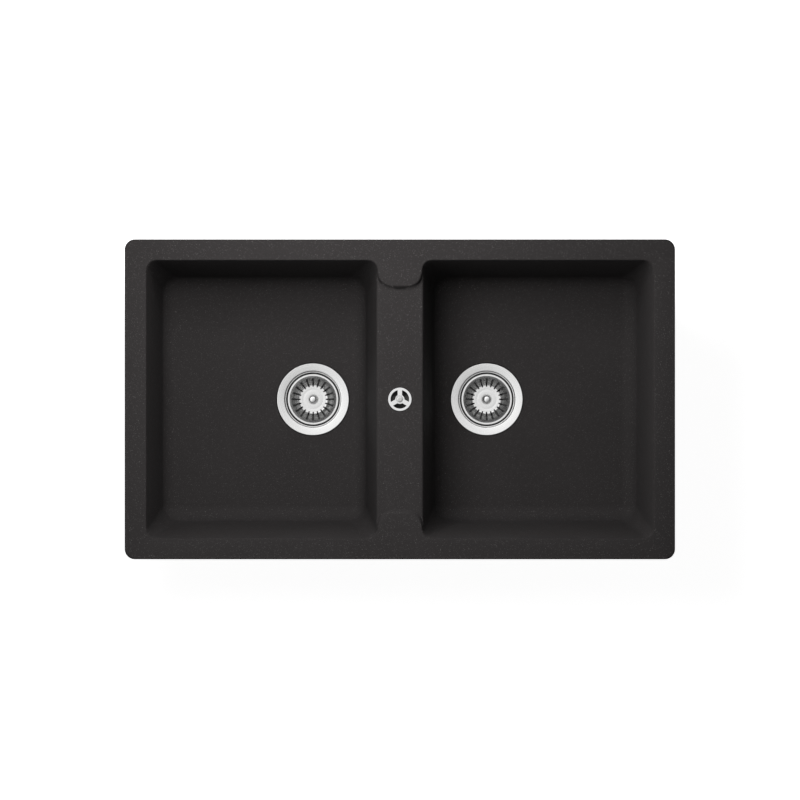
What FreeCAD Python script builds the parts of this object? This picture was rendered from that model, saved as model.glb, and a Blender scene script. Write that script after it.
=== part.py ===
import FreeCAD, Part
import math
import os

V = FreeCAD.Vector
UP = V(0, 0, 1)
CENTRE = V(0, 0, 0)

# Double bowl kitchen sink, moulded in granite composite and let into a worktop. Sizes are in mm, angles
# in degrees. x runs along the sink, y towards the wall behind it, and z = 0 is the worktop's top face.
sink_length = 860.0
sink_width = 500.0
sink_corner = 16.0
rim_height = 8.0
rim_edge = 2.0  # bevel of the rim's outer edge
side_border = 34.0  # rim beside the bowls
end_border = 33.0  # rim in front of and behind the bowls
wall = 8.0  # bowl walls and floor

bowl_depth = 190.0  # rim's top to bowl's floor
bowl_corner = 15.0  # upright corners at the rim
floor_fillet = 26.0  # rounding all along the floor, and the corners' radius where they meet it
bowl_edge = 2.0  # bevel of the bowls' top edge
shell_bevel = 18.0  # along the underside of the bowls
shell_flats = 4  # flats round each upright corner outside
side_draft = 6.6
end_draft = 7.8
divider_draft = 6.3

divider_width = 70.0
divider_drop = 12.0  # divider below the rim's top
divider_edge = 4.0  # rounding of the divider's long edges
divider_edge_fades = (1.0, 0.3, 0.05)  # its size on the way to a tap ledge
divider_edge_share = 0.7  # of the room beside a ledge that the rounding may take
bridge_thickness = 8.0
ledge_reach = 40.0  # tap ledge, from the bowls' end
ledge_corner = 22.5
ledge_slope = 5.5  # foot of the ledge's step ahead of its top edge
ledge_overrun = 0.02  # ledges' corners, cut a hair past the bowls' walls
tap_hole = 35.0  # knock-out moulded under each ledge
tap_hole_skin = 3.0

# Worktop cut-out, seal and clamps
cutout_margin = 10.0  # rim that rests on the worktop
rim_seal_inset = 2.5
rim_seal_width = 5.0
rim_seal_thickness = 2.0
clamp_x = 216.0  # clamps in front and behind
clamp_inset = 9.5  # screw's axis inside the cut-out's edge
lug_reach = 8.0
lug_root = 12.0
lug_draft = 1.5
lug_height = 14.0
lug_hole_depth = 12.0
clamp_screw_radius = 3.0
clamp_screw_drop = 60.0  # screw head's top below the worktop's top
clamp_screw_gap = 2.0  # left above the screw's end in its hole
clamp_head_width = 11.0  # across flats
clamp_head_height = 5.0
clamp_slot = 1.6
claw_sheet = 2.5
claw_width = 16.0
claw_length = 26.0
claw_tail = 8.5
claw_tail_bevel = 4.0
claw_tip = 14.0
claw_bend = 3.5
claw_teeth = 3
claw_tooth = 3.0
claw_hole_gap = 0.5
running_gap = 0.3  # between pieces that move on each other

# Basket wastes, 3 1/2 inch
drain_offset = 138.0  # from the sink's centre
sheet = 1.0
flange_radius = 57.0
recess_gap = 1.5  # round the flange
recess_depth = 3.0
boss_margin = 3.5  # round the recess, under the bowl
boss_height = 4.0
flange_seal_inset = 2.0
flange_seal_thickness = 1.8
throat_radius = 42.6
cup_depth = 38.0
waste_hole_gap = 1.9  # round the cup
window_count = 8
window_start = 10.0
window_end = 21.5
window_bar = 5.0  # left between two windows
body_seal_width = 11.5
body_seal_thickness = 4.0
body_flange_thickness = 4.0
body_gap = 2.4  # round the cup, inside the body
body_wall = 3.0
body_taper = 3.0
body_bevel = 7.0
outlet_drop = 62.0  # outlet's axis below the bowl's floor
bar_width = 22.0  # bar across the body, which takes the screw
bar_height = 16.0
waste_screw_wall = 1.7  # round the bore for the basket's catch
waste_screw_head = 15.0  # across flats
waste_screw_head_height = 2.5
waste_screw_bore_depth = 14.0
screw_insert_width = 16.0  # across flats
screw_insert_height = 8.0

# 40 mm pipework
pipe_radius = 20.0
pipe_wall = 2.0
socket_wall = 4.2
socket_reach = 66.0  # from the waste's axis
socket_depth = 21.0
pipe_fit = 0.3  # pipe in its socket
pipe_end_gap = 1.0
outlet_seal_width = 4.0
outlet_nut_wall = 5.0
outlet_nut_grip = 14.0
outlet_nut_lip = 3.0
tee_reach = 28.0  # thicker middle of the tee, to each side
tee_step = 1.5  # from the pipes out to the tee's thicker middle
outlet_length = 62.0  # tee's axis to the outlet's end
outlet_grip = 40.0  # plain length of the outlet, for the trap's collar
branch_length = 42.0  # tee's axis to the end of the overflow's spigot

# Overflow in the divider
overflow_hole_radius = 15.0
cover_radius = 18.2
cover_ring_width = 3.7
cover_height = 2.4
cover_hub_wall = 1.4  # round the screw's head
spoke_count = 3
spoke_width = 6.9
spoke_thickness = 1.8
overflow_screw_head_radius = 5.4
overflow_screw_head_height = 1.7
overflow_screw_radius = 2.5
overflow_screw_length = 34.0
cross_width = 1.4
cross_length = 7.0
cross_depth = 1.0
overflow_seal_thickness = 2.5
overflow_flange_radius = 22.0
overflow_flange_thickness = 2.5
overflow_body_radius = 18.5
overflow_body_wall = 2.0
overflow_body_depth = 28.0
overflow_bar_width = 12.0
overflow_bar_height = 12.0
overflow_bar_gap = 8.0  # cup's top to the bar
spigot_radius = 10.0
spigot_wall = 1.6
spigot_length = 18.0
hose_wall = 2.2
hose_fit = 0.2
hose_overlap = 16.0  # hose over each spigot

# Baskets
basket_sheet = 0.8
basket_rim_drop = 6.5  # below the flange's top
basket_rim_gap = 2.6  # round the basket's rim, in the cup
basket_rim_width = 2.6
basket_rim_height = 1.6
basket_floor_radius = 23.0
slot_count = 20
slot_width = 3.0
slot_start = 20.0
slot_end = 34.5
plug_cover = 4.5  # lip past the windows that it closes
plug_lip = 2.2
plug_slope = 5.0  # lip's edge to the plug's upright side
plug_thickness = 8.0
plug_recess_radius = 13.0
plug_recess_depth = 4.7
knob_radius = 7.2
knob_height = 14.0
knob_cap = 5.0
knob_bevel = 1.5
stem_radius = 3.0
stem_tip_radius = 1.8
stem_tip_length = 8.0
catch_collar = 11.0  # across flats
catch_collar_height = 1.5
catch_radius = 3.7
catch_gap = 0.6  # in the waste screw's bore
catch_neck = 2.6
catch_length = 9.0

overcut = 1.0  # how far a cutter runs past the face that it opens

# Number of flats on round pieces that repeat or lie hidden
screw_sides = 12
hidden_sides = 20
fine_sides = 32
nut_sides = 10

floor_z = rim_height - bowl_depth
divider_z = rim_height - divider_drop
bridge_z = divider_z - bridge_thickness
flange_z = floor_z - recess_depth + flange_seal_thickness + sheet
cup_floor_z = flange_z - cup_depth
cup_radius = throat_radius + sheet
waste_hole_radius = cup_radius + waste_hole_gap
recess_radius = flange_radius + recess_gap
boss_radius = recess_radius + boss_margin
body_flange_radius = waste_hole_radius + body_seal_width
body_radius = cup_radius + body_gap + body_wall
basket_rim_radius = throat_radius - basket_rim_gap
plug_radius = window_end + plug_cover
plug_top_radius = plug_radius - plug_slope
waste_screw_bore_radius = catch_radius + catch_gap
waste_screw_radius = waste_screw_bore_radius + waste_screw_wall
outlet_nut_radius = pipe_radius + pipe_fit + socket_wall + outlet_nut_wall
cover_hub_radius = overflow_screw_head_radius + cover_hub_wall
boss_z = floor_z - wall - boss_height
body_z = boss_z - body_seal_thickness
outlet_z = floor_z - outlet_drop
bar_z = cup_floor_z - sheet
claw_z = running_gap - clamp_screw_drop
plug_z = cup_floor_z + running_gap
basket_floor_z = plug_z + plug_thickness + basket_sheet
catch_z = plug_z + plug_recess_depth - catch_collar_height
overflow_body_z = bridge_z - overflow_seal_thickness
spigot_z = overflow_body_z - overflow_body_depth
SIDES = {"left": -1, "right": 1}


def tan(degrees):
    return math.tan(math.radians(degrees))


def rounded_wire(corners, place):
    """Closed wire through the corners (u, v, radius), each rounded to its radius."""
    points = [place(u, v) for u, v, radius in corners]
    turns = []
    for i, point in enumerate(points):
        radius = corners[i][2]
        if radius <= 0:
            turns.append((point, None, point))
            continue
        back = (points[i - 1] - point).normalize()
        ahead = (points[(i + 1) % len(points)] - point).normalize()
        half = back.getAngle(ahead) / 2
        reach = radius / math.tan(half)
        middle = (back + ahead).normalize() * (radius / math.sin(half) - radius)
        turns.append((point + back * reach, point + middle, point + ahead * reach))
    edges = []
    for i, (start, middle, end) in enumerate(turns):
        if middle:
            edges.append(Part.Arc(start, middle, end).toShape())
        following = turns[(i + 1) % len(turns)][0]
        if (following - end).Length > 1e-6:
            edges.append(Part.LineSegment(end, following).toShape())
    return Part.Wire(edges)


def plan(corners, z):
    """Wire in the horizontal plane at z."""
    return rounded_wire(corners, lambda u, v: V(u, v, z))


def prism(corners, low, high):
    """Upright solid between two heights over a rounded outline."""
    return Part.Face(plan(corners, low)).extrude(V(0, 0, high - low))


def rectangle(length, width, radius):
    x, y = length / 2, width / 2
    return [(-x, -y, radius), (x, -y, radius), (x, y, radius), (-x, y, radius)]


def polygon(radius, sides, phase=0.5):
    """Corners of a regular polygon about the origin, whose flats touch a circle of the radius."""
    reach = radius / math.cos(math.pi / sides)
    angles = [2 * math.pi * (i + phase) / sides for i in range(sides)]
    return [(reach * math.cos(a), reach * math.sin(a), 0) for a in angles]


def disc(radius, low, high, x=0.0, y=0.0):
    return Part.makeCylinder(radius, high - low, V(x, y, low))


def box(x0, x1, y0, y1, z0, z1):
    return Part.makeBox(x1 - x0, y1 - y0, z1 - z0, V(x0, y0, z0))


def pressed(path, thickness):
    """Corners of a sheet's section: the path (r, z) and its copy, moved to its right by the thickness."""
    moved = []
    for i, (r, z) in enumerate(path):
        normals = []
        for a, b in zip(path[max(i - 1, 0):i + 1], path[max(i, 1):i + 2]):
            along = V(b[0] - a[0], b[1] - a[1], 0).normalize()
            normals.append(V(along.y, -along.x, 0))
        total = normals[0] + normals[-1]
        shift = total * (2 * thickness / total.dot(total))
        moved.append((r + shift.x, z + shift.y))
    return list(path) + moved[::-1]


def patterned(shape, count, start=0.0):
    """Copies of a shape, evenly turned about the origin's axis."""
    copies = []
    for i in range(count):
        copy = shape.copy()
        copy.rotate(CENTRE, UP, start + 360.0 * i / count)
        copies.append(copy)
    return copies


def flat_sided(radius, low, high, sides, phase=0.5):
    """Upright solid with flat sides that touch a circle of the radius."""
    return prism(polygon(radius, sides, phase), low, high)


def washer(outer, inner, low, high, sides):
    return flat_sided(outer, low, high, sides).cut(flat_sided(inner, low, high, sides))


def frustum(low, low_z, high, high_z):
    """Solid between two polygons with as many corners, all its faces flat."""
    bottom = [V(x, y, low_z) for x, y, *_ in low]
    top = [V(x, y, high_z) for x, y, *_ in high]
    loops = [bottom, top]
    for i in range(len(bottom)):
        loops.append([bottom[i - 1], bottom[i], top[i], top[i - 1]])
    return sewn([Part.Face(Part.makePolygon(loop + loop[:1])) for loop in loops])


def sewn(faces):
    """Solid whose skin is the given faces."""
    shell = Part.Shell(faces)
    shell.sewShape()
    solid = Part.Solid(shell)
    if solid.Volume < 0:
        solid.reverse()
    return solid


def half_space(point, normal, size=400.0):
    """Block that lies behind a plane."""
    block = Part.makeBox(size, size, size, V(-size / 2, -size / 2, -size))
    block.transformShape(FreeCAD.Placement(point, FreeCAD.Rotation(UP, normal)).toMatrix())
    return block


def inner_x(z):
    """The divider-side wall of a bowl at a height."""
    return divider_width / 2 + (rim_height - z) * tan(divider_draft)


def outer_x(z):
    return sink_length / 2 - side_border - (rim_height - z) * tan(side_draft)


def end_y(z):
    return sink_width / 2 - end_border - (rim_height - z) * tan(end_draft)


class BowlCorner:
    """One upright corner of a bowl: a ball on the floor, and the cone that leads from it up past the rim.

    The ball touches both walls and the floor. A bowl's skin is drawn between four such corners, so planes,
    cylinders, cones and balls all run smoothly into each other.
    """

    def __init__(self, side, outer, rear):
        draft = math.radians(side_draft if outer else divider_draft)
        end = math.radians(end_draft)
        out = side if outer else -side
        back = 1 if rear else -1
        self.normals = [
            V(out * math.cos(draft), 0, -math.sin(draft)),
            V(0, back * math.cos(end), -math.sin(end)),
        ]

        def centre(radius, z):
            x = outer_x(z) - radius / math.cos(draft) if outer else inner_x(z) + radius / math.cos(draft)
            return V(side * x, back * (end_y(z) - radius / math.cos(end)), z)

        top = 2 * rim_height
        low_z = floor_z + floor_fillet
        high_z = 2 * top
        high_radius = floor_fillet + (bowl_corner - floor_fillet) * (high_z - low_z) / (rim_height - low_z)
        self.ball = centre(floor_fillet, low_z)
        self.radius = floor_fillet
        high_ball = centre(high_radius, high_z)
        self.feet = [self.ball + n * self.radius for n in self.normals]
        ends = [high_ball + n * high_radius for n in self.normals]
        self.tops = []
        for foot, end in zip(self.feet, ends):
            self.tops.append(foot + (end - foot) * ((top - foot.z) / (end.z - foot.z)))
        self.under = self.ball - UP * self.radius
        axis = (high_ball - self.ball).normalize()
        hub = self.ball + axis * (self.feet[0] - self.ball).dot(axis)
        spokes = [foot - hub for foot in self.feet]
        turn = math.degrees(spokes[0].getAngle(spokes[1]))
        if axis.dot(spokes[0].cross(spokes[1])) < 0:
            turn = -turn
        cone = Part.LineSegment(self.feet[0], ends[0]).toShape().revolve(hub, axis, turn)
        self.cone = cone.common(half_space(V(self.ball.x, self.ball.y, top), UP)).Faces[0]
        level = V(self.normals[0].x, 0, 0).normalize()
        middle = self.ball + (level - UP).normalize() * self.radius
        rise = Part.Arc(self.under, middle, self.ball + level * self.radius)
        quarter = 90 if self.normals[0].cross(self.normals[1]).z > 0 else -90
        self.patch = rise.toShape().revolve(self.ball, UP, quarter).common(half_space(hub, axis)).Faces[0]

    def top_edge(self):
        """Where the cone ends at the top plane."""
        height = self.tops[0].z
        return [e for e in self.cone.Edges if e.BoundBox.ZMin > height - 1e-5][0]

    def floor_arc(self, wall_index):
        """Section of the floor's rounding, from the floor up to one of the two walls."""
        middle = self.ball + (self.normals[wall_index] - UP).normalize() * self.radius
        return Part.Arc(self.under, middle, self.feet[wall_index]).toShape()


def bowl_hollow(side):
    """Inside of a bowl as a solid block that reaches above the rim."""
    places = [(True, True), (False, True), (False, False), (True, False)]
    corners = {at: BowlCorner(side, *at) for at in places}
    faces = [corner.cone for corner in corners.values()] + [corner.patch for corner in corners.values()]
    rim = [corner.top_edge() for corner in corners.values()]
    spans = [(0, (True, True), (True, False)), (0, (False, True), (False, False))]
    spans += [(1, (True, True), (False, True)), (1, (True, False), (False, False))]
    for wall_index, first, second in spans:
        a, b = corners[first], corners[second]
        loop = [a.feet[wall_index], a.tops[wall_index], b.tops[wall_index], b.feet[wall_index]]
        faces.append(Part.Face(Part.makePolygon(loop + loop[:1])))
        faces.append(a.floor_arc(wall_index).extrude(b.ball - a.ball))
        rim.append(Part.LineSegment(loop[1], loop[2]).toShape())
    floor = [corners[at].under for at in places]
    faces.append(Part.Face(Part.makePolygon(floor + floor[:1])))
    faces.append(Part.Face(Part.Wire(Part.__sortEdges__(rim))))
    return sewn(faces)


def ledge_front(z):
    """Half distance between the tap ledges at a height, and the radius that leads into the bowls."""
    slope = ledge_slope * (rim_height - z) / divider_drop
    return sink_width / 2 - end_border - ledge_reach - slope, ledge_corner + slope


def divider_notch():
    """Air over the lowered divider, between the S-shaped fronts of the tap ledges."""
    wires = []
    for z in (2 * rim_height, divider_z):
        front, radius = ledge_front(z)
        edge = inner_x(z) + ledge_overrun
        beyond = edge + bowl_corner
        start = front + radius
        turn = radius * (1 - math.sqrt(0.5))
        points = []
        for x_sign, y_sign in ((1, 1), (-1, 1), (-1, -1), (1, -1)):
            outside = V(x_sign * beyond, y_sign * start, z)
            at_wall = V(x_sign * edge, y_sign * start, z)
            middle = V(x_sign * (edge - turn), y_sign * (front + turn), z)
            at_front = V(x_sign * (edge - radius), y_sign * front, z)
            points.append((outside, at_wall, middle, at_front))
        edges = []
        for first, second in ((points[0], points[1]), (points[2], points[3])):
            edges.append(Part.LineSegment(first[0], first[1]).toShape())
            edges.append(Part.Arc(first[1], first[2], first[3]).toShape())
            edges.append(Part.LineSegment(first[3], second[3]).toShape())
            edges.append(Part.Arc(second[3], second[2], second[1]).toShape())
            edges.append(Part.LineSegment(second[1], second[0]).toShape())
            following = points[2] if second is points[1] else points[0]
            edges.append(Part.LineSegment(second[0], following[0]).toShape())
        wires.append(Part.Wire(edges))
    return Part.makeLoft(wires, True, True)


def divider_edge_cutter(side):
    """What the rounding of a divider's long edge takes away, fading out where a tap ledge meets the bowl."""
    edge_x = inner_x(divider_z)
    foot, foot_radius = ledge_front(divider_z)
    per_radius = tan((90 - divider_draft) / 2)
    sections = []
    for fade in divider_edge_fades:
        radius = divider_edge * fade
        room = radius * per_radius / divider_edge_share
        y = foot + foot_radius - math.sqrt(room * (2 * foot_radius - room))
        sections.append((y, radius))
    wires = []
    for y, radius in [(-y, radius) for y, radius in reversed(sections)] + sections:
        reach = radius * per_radius
        lean = math.radians(divider_draft)
        on_top = V(edge_x - reach, y, divider_z)
        on_wall = V(edge_x + reach * math.sin(lean), y, divider_z - reach * math.cos(lean))
        axis = on_top - V(0, 0, radius)
        out = (V(edge_x, y, divider_z) - axis).normalize()
        outside = V(on_wall.x + overcut, y, divider_z + overcut)
        points = [on_wall, on_wall + V(overcut, 0, 0), outside, on_top + V(0, 0, overcut), on_top]
        edges = [Part.Arc(on_top, axis + out * radius, on_wall).toShape()]
        edges += [Part.LineSegment(a, b).toShape() for a, b in zip(points, points[1:])]
        wires.append(Part.Wire(edges))
    cutter = Part.makeLoft(wires, True, True)
    return cutter if side > 0 else cutter.mirror(CENTRE, V(1, 0, 0))


def clamp_stations():
    """Name, place and outward bearing of each clamp."""
    rear = sink_width / 2 - cutout_margin - clamp_inset
    right = sink_length / 2 - cutout_margin - clamp_inset
    return [
        ("rear_left", -clamp_x, rear, 90),
        ("rear_right", clamp_x, rear, 90),
        ("front_left", -clamp_x, -rear, -90),
        ("front_right", clamp_x, -rear, -90),
        ("left", -right, 0, 180),
        ("right", right, 0, 0),
    ]


def at_clamps(make):
    """One copy of a clamp's piece at every station; make draws it at the origin, pointing along +x."""
    pieces = []
    for name, x, y, bearing in clamp_stations():
        piece = make()
        piece.rotate(CENTRE, UP, bearing)
        piece.translate(V(x, y, 0))
        pieces.append(piece)
    return pieces


def lug():
    """Drafted block under the rim that takes a clamp's screw."""
    plans = []
    for half in (lug_reach, lug_reach + lug_draft):
        plans.append([(-lug_root, -half), (lug_reach, -half), (lug_reach, half), (-lug_root, half)])
    return frustum(plans[0], -lug_height, plans[1], rim_height / 2)


def seal_outline(inset):
    return rectangle(sink_length - 2 * inset, sink_width - 2 * inset, sink_corner - inset)


def seal_band(low, high):
    outer = prism(seal_outline(rim_seal_inset), low, high)
    return outer.cut(prism(seal_outline(rim_seal_inset + rim_seal_width), low, high))


def shell_plan(side, z, inset=0.0):
    """Outside of a bowl at a height, with a few flats round each corner."""
    radius = bowl_corner + wall - inset * (math.sqrt(2) - 1)
    near, far, end = inner_x(z) - wall + inset, outer_x(z) + wall - inset, end_y(z) + wall - inset
    corners = []
    for x, y, first in ((far, end, 0), (near, end, 90), (near, -end, 180), (far, -end, 270)):
        hub = V(x - math.copysign(radius, x - near - radius), y - math.copysign(radius, y), z)
        for i in range(shell_flats + 1):
            angle = math.radians(first + 90 * i / shell_flats)
            corners.append((side * (hub.x + radius * math.cos(angle)), hub.y + radius * math.sin(angle)))
    return corners


def bowl_shell(side):
    """Outside of a bowl as a solid block, bevelled along its underside."""
    base = floor_z - wall
    knee = base + shell_bevel
    top = rim_height / 2
    middle = shell_plan(side, knee)
    upper = frustum(middle, knee, shell_plan(side, top), top)
    return frustum(shell_plan(side, base, shell_bevel), base, middle, knee).fuse(upper)


def sink_moulding():
    rim = prism(rectangle(sink_length, sink_width, sink_corner), 0, rim_height)
    rim = rim.makeChamfer(rim_edge, [e for e in rim.Edges if e.BoundBox.ZMin > rim_height - 1e-4])
    bridge_y = sink_width / 2 - cutout_margin - clamp_inset / 2
    bridge_x = divider_width / 2 + wall
    solids = [box(-bridge_x, bridge_x, -bridge_y, bridge_y, bridge_z, overcut)]
    for side in SIDES.values():
        solids.append(bowl_shell(side))
        boss = flat_sided(boss_radius, boss_z, floor_z, hidden_sides)
        boss.translate(V(side * drain_offset, 0, 0))
        solids.append(boss)
    body = rim.multiFuse(solids + at_clamps(lug))
    bowls = [bowl_hollow(side) for side in SIDES.values()]
    body = body.cut(divider_notch().multiFuse(bowls)).removeSplitter()
    top_edges = []
    for edge in body.Edges:
        bounds = edge.BoundBox
        inside = max(bounds.XMax, -bounds.XMin) < sink_length / 2 - side_border / 2
        if bounds.ZMin > rim_height - 1e-4 and inside:
            top_edges.append(edge)
    body = body.makeChamfer(bowl_edge, top_edges)
    cuts = [divider_edge_cutter(side) for side in SIDES.values()]
    cuts.append(disc(overflow_hole_radius, bridge_z - overcut, rim_height))
    cuts.append(seal_band(-overcut, rim_seal_thickness))
    ledge_y = (sink_width / 2 + ledge_front(rim_height)[0]) / 2
    for y in (-ledge_y, ledge_y):
        cuts.append(disc(tap_hole / 2, bridge_z - overcut, rim_height - tap_hole_skin, 0, y))
    for side in SIDES.values():
        x = side * drain_offset
        cuts.append(disc(recess_radius, floor_z - recess_depth, floor_z + overcut, x))
        hole = flat_sided(waste_hole_radius, boss_z - overcut, floor_z, hidden_sides)
        hole.translate(V(x, 0, 0))
        cuts.append(hole)
    low = -lug_height - overcut
    high = lug_hole_depth - lug_height
    cuts += at_clamps(lambda: flat_sided(clamp_screw_radius, low, high, screw_sides))
    return body.cut(Part.makeCompound(cuts))


def clamp_screw():
    top = lug_hole_depth - lug_height - clamp_screw_gap
    low = -clamp_screw_drop - clamp_head_height
    screw = flat_sided(clamp_head_width / 2, low, -clamp_screw_drop, 6)
    screw = screw.fuse(flat_sided(clamp_screw_radius, -clamp_screw_drop, top, screw_sides))
    half = clamp_slot / 2
    return screw.cut(box(-clamp_head_width, clamp_head_width, -half, half, low, low + clamp_slot))


def clamp_claw():
    """Pressed claw with a toothed tip, pointing along +x from its screw."""
    tip = claw_z + claw_tip
    path = [
        (-claw_tail, claw_z), (claw_length - claw_bend, claw_z), (claw_length, claw_z + claw_bend),
        (claw_length, tip),
    ]
    half = claw_width / 2
    profile = [(x, z, 0) for x, z in pressed(path, -claw_sheet)]
    claw = Part.Face(rounded_wire(profile, lambda u, v: V(u, -half, v))).extrude(V(0, claw_width, 0))
    hole = clamp_screw_radius + claw_hole_gap
    low, high = claw_z - overcut, claw_z + claw_sheet + overcut
    cuts = [box(-hole, hole, -hole, hole, low, high)]
    for side in (-1, 1):
        corner = [(-claw_tail, side * half, 0), (claw_tail_bevel - claw_tail, side * half, 0)]
        corner.append((-claw_tail, side * (half - claw_tail_bevel), 0))
        cuts.append(prism(corner, low, high))
    pitch = claw_width / claw_teeth
    for i in range(claw_teeth + 1):
        y = i * pitch - half
        notch = [(y, tip - claw_tooth, 0), (y + pitch / 2, tip, 0), (y - pitch / 2, tip, 0)]
        face = Part.Face(rounded_wire(notch, lambda u, v: V(claw_length - claw_sheet - overcut, u, v)))
        cuts.append(face.extrude(V(claw_sheet + 2 * overcut, 0, 0)))
    return claw.cut(Part.makeCompound(cuts))


def waste_cup(x):
    """Pressed flange and cup, with windows round the central screw."""
    bottom = cup_floor_z - sheet
    cup = flat_sided(flange_radius, flange_z - sheet, flange_z, fine_sides)
    cup = cup.fuse(flat_sided(cup_radius, bottom, flange_z, fine_sides))
    cup = cup.cut(flat_sided(throat_radius, cup_floor_z, flange_z, fine_sides))
    cuts = patterned(cup_window(), window_count, 180 / window_count)
    cuts.append(flat_sided(waste_screw_radius, bottom, cup_floor_z, screw_sides))
    cup = cup.cut(Part.makeCompound(cuts))
    cup.translate(V(x, 0, 0))
    return cup


def cup_window():
    """Cutter for one window of the cup's floor, pointing along +x."""
    half_angle = math.pi / window_count
    corners = []
    for radius, order in ((window_start, 1), (window_end, -1)):
        half = radius * math.tan(half_angle) - window_bar / 2 / math.cos(half_angle)
        corners += [(radius, -order * half, 0), (radius, order * half, 0)]
    return prism(corners, cup_floor_z - 2 * sheet, cup_floor_z + sheet)


def flange_seal(x):
    low = floor_z - recess_depth
    outer = flange_radius - flange_seal_inset
    seal = washer(outer, waste_hole_radius, low, low + flange_seal_thickness, hidden_sides)
    seal.translate(V(x, 0, 0))
    return seal


def body_seal(x):
    seal = washer(body_flange_radius, waste_hole_radius, body_z, boss_z, hidden_sides)
    seal.translate(V(x, 0, 0))
    return seal


def lying(radius, start, end):
    """Flat-sided solid along x at the height of the outlets."""
    solid = flat_sided(radius, start, end, hidden_sides)
    solid.rotate(CENTRE, V(0, 1, 0), 90)
    solid.translate(V(0, 0, outlet_z))
    return solid


def waste_body(side):
    """Moulded body with a side outlet that faces the sink's centre."""
    bottom = outlet_z - pipe_radius
    foot = body_radius - body_taper

    def hull(inset, top, base):
        """Tapered pot with a bevel round its base."""
        knee = base + body_bevel - inset
        rings = [(body_radius - inset, top), (foot - inset, knee), (foot - body_bevel, base)]
        outline = [(polygon(radius, hidden_sides), z) for radius, z in rings]
        upper = frustum(outline[1][0], outline[1][1], outline[0][0], outline[0][1])
        return upper.fuse(frustum(outline[2][0], outline[2][1], outline[1][0], outline[1][1]))

    body = hull(0, body_z, bottom - body_wall)
    body = body.fuse(flat_sided(body_flange_radius, body_z - body_flange_thickness, body_z, hidden_sides))
    body = body.fuse(lying(pipe_radius + pipe_fit + socket_wall, 0, socket_reach))
    body = body.cut(hull(body_wall, body_z, bottom))
    body = body.cut(lying(pipe_radius - pipe_wall, 0, socket_reach))
    body = body.cut(lying(pipe_radius + pipe_fit, socket_reach - socket_depth, socket_reach))
    half = bar_width / 2
    bar = box(-body_radius, body_radius, -half, half, bar_z - bar_height, bar_z)
    body = body.fuse(bar.common(hull(body_wall / 2, body_z, bottom)))
    insert_top = bar_z - bar_height + screw_insert_height
    body = body.cut(flat_sided(screw_insert_width / 2, bar_z - bar_height, insert_top, 6))
    body = body.cut(flat_sided(waste_screw_radius, insert_top, bar_z, screw_sides))
    if side > 0:
        body.rotate(CENTRE, UP, 180)
    body.translate(V(side * drain_offset, 0, 0))
    return body


def waste_screw(x):
    """Hollow-headed screw; its bore takes the basket's catch."""
    top = cup_floor_z + waste_screw_head_height
    screw = flat_sided(waste_screw_head / 2, cup_floor_z, top, 6)
    screw = screw.fuse(flat_sided(waste_screw_radius, bar_z - bar_height - sheet, cup_floor_z, screw_sides))
    screw = screw.cut(flat_sided(waste_screw_bore_radius, top - waste_screw_bore_depth, top, screw_sides))
    screw.translate(V(x, 0, 0))
    return screw


def screw_insert(x):
    low = bar_z - bar_height
    nut = flat_sided(screw_insert_width / 2, low, low + screw_insert_height, 6)
    nut = nut.cut(flat_sided(waste_screw_radius, low, low + screw_insert_height, screw_sides))
    nut.translate(V(x, 0, 0))
    return nut


def beside_waste(shape, side):
    """Turns an upright fitting to lie along x at a waste's outlet; its z = 0 is the socket's end."""
    shape.rotate(CENTRE, V(0, 1, 0), -90 * side)
    shape.translate(V(side * (drain_offset - socket_reach), 0, outlet_z))
    return shape


def outlet_nut(side):
    """Union nut that grips the socket's end and closes with a lip round the pipe."""
    lip = outlet_seal_width
    nut = flat_sided(outlet_nut_radius, -outlet_nut_grip, lip + outlet_nut_lip, nut_sides)
    nut = nut.cut(flat_sided(pipe_radius + pipe_fit + socket_wall, -outlet_nut_grip, lip, hidden_sides))
    nut = nut.cut(flat_sided(pipe_radius + pipe_fit, lip, lip + outlet_nut_lip, hidden_sides))
    return beside_waste(nut, side)


def outlet_seal(side):
    seal = washer(pipe_radius + socket_wall, pipe_radius, 0, outlet_seal_width, hidden_sides)
    return beside_waste(seal, side)


def connecting_tee():
    """Pipe from both wastes to one outlet, with a spigot on top for the overflow's hose."""
    half = drain_offset - socket_reach + socket_depth - pipe_end_gap
    bore = pipe_radius - pipe_wall
    outlet_end = outlet_z - outlet_length
    spigot_end = outlet_z + branch_length
    shoulder = outlet_end + outlet_grip
    thick = pipe_radius + tee_step
    tee = lying(pipe_radius, -half, half).multiFuse([
        lying(thick, -tee_reach, tee_reach),
        disc(pipe_radius, outlet_end, shoulder),
        Part.makeCone(pipe_radius, thick, tee_step, V(0, 0, shoulder)),
        disc(thick, shoulder + tee_step, outlet_z),
        flat_sided(spigot_radius, outlet_z, spigot_end, hidden_sides),
    ])
    tee = tee.cut(lying(bore, -half, half))
    tee = tee.cut(flat_sided(bore, outlet_end, outlet_z, hidden_sides))
    return tee.cut(flat_sided(spigot_radius - spigot_wall, outlet_z, spigot_end, hidden_sides))


def overflow_cover():
    """Flat rose with three spokes."""
    top = divider_z + cover_height
    inner = cover_radius - cover_ring_width
    half = spoke_width / 2
    spoke = box(0, inner + cover_ring_width / 2, -half, half, divider_z, divider_z + spoke_thickness)
    solids = patterned(spoke, spoke_count, 90)
    solids.append(flat_sided(cover_hub_radius, divider_z, top, hidden_sides))
    rose = washer(cover_radius, inner, divider_z, top, fine_sides).multiFuse(solids)
    return rose.cut(overflow_screw_blank())


def overflow_screw_blank():
    top = divider_z + cover_height
    head_z = top - overflow_screw_head_height
    head = flat_sided(overflow_screw_head_radius, head_z, top, hidden_sides)
    return head.fuse(flat_sided(overflow_screw_radius, top - overflow_screw_length, head_z, screw_sides))


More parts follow.
